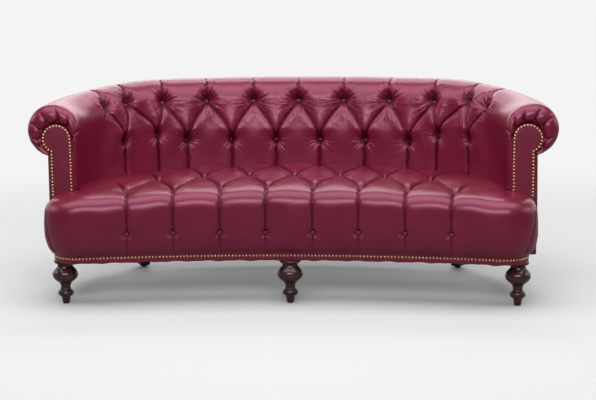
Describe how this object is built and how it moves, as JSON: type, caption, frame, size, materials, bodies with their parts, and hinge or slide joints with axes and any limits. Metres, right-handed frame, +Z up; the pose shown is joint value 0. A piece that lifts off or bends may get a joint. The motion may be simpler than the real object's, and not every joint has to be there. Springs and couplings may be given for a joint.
{
  "type": "chesterfield sofa",
  "caption": "Curved deep-buttoned leather chesterfield sofa with a rolled back and arms, a sprung buttoned seat, nail trim and turned legs.",
  "frame": {"origin": "on the floor, under the middle of the sofa's box", "axes": "+X across the sofa to the sitter's left, seen from the front to the right; -Y to the front; +Z up"},
  "size_m": [2.14, 0.9804, 0.83],
  "materials": {
    "cover_leather": "glossy burgundy, soft hide over wadding",
    "panel_leather": "glossy burgundy, stretched flat",
    "button_leather": "glossy burgundy, pulled over a button shell",
    "nail_brass": "antique polished domes",
    "leg_mahogany": "dark red-brown, french polished",
    "rear_leg_wood": "dark stained, satin",
    "glide_nylon": "matt",
    "frame_beech": "planed, bare",
    "steel": "drawn wire and zinc",
    "hessian": "open plain weave",
    "webbing": "tight herringbone weave",
    "stuffing": "fibre and wadding",
    "dust_cloth": "black non-woven cloth"
  },
  "bodies": {
    "root": {"arm_buttons_left": "button_leather", "arm_buttons_right": "button_leather", "arm_cover_left": "cover_leather", "arm_cover_right": "cover_leather", "arm_facing_left": "panel_leather", "arm_facing_right": "panel_leather", "arm_hessian_left": "hessian", "arm_hessian_right": "hessian", "arm_post_left": "frame_beech", "arm_post_right": "frame_beech", "arm_stuffing_left": "stuffing", "arm_stuffing_right": "stuffing", "back_buttons": "button_leather", "back_cover": "cover_leather", "back_hessian": "hessian", "back_post_left": "frame_beech", "back_post_right": "frame_beech", "back_rail": "frame_beech", "back_stuffing": "stuffing", "base_nails": "nail_brass", "dust_cover": "dust_cloth", "facing_nails_left": "nail_brass", "facing_nails_right": "nail_brass", "frame_dowels": "frame_beech", "frame_stays": "frame_beech", "front_corner_block_left": "frame_beech", "front_corner_block_right": "frame_beech", "front_leg_left": "leg_mahogany", "front_leg_middle": "leg_mahogany", "front_leg_right": "leg_mahogany", "front_nails": "nail_brass", "front_rail": "frame_beech", "inside_webbing": "webbing", "leg_blocks": "frame_beech", "leg_bolts": "steel", "outside_arm_left": "panel_leather", "outside_arm_right": "panel_leather", "outside_back": "panel_leather", "rear_leg_glides": "glide_nylon", "rear_leg_left": "rear_leg_wood", "rear_leg_right": "rear_leg_wood", "return_rail_left": "frame_beech", "return_rail_right": "frame_beech", "seat_buttons": "button_leather", "seat_cover": "cover_leather", "seat_front_buttons": "button_leather", "seat_hessian": "hessian", "seat_springs": "steel", "seat_stretchers": "frame_beech", "seat_stuffing": "stuffing", "side_rail_left": "frame_beech", "side_rail_right": "frame_beech", "spring_clips": "steel", "tacking_rail_arm_left": "frame_beech", "tacking_rail_arm_right": "frame_beech", "tacking_rail_back": "frame_beech", "top_rail_arm_left": "frame_beech", "top_rail_arm_right": "frame_beech", "top_rail_back": "frame_beech"}
  },
  "joints": []
}
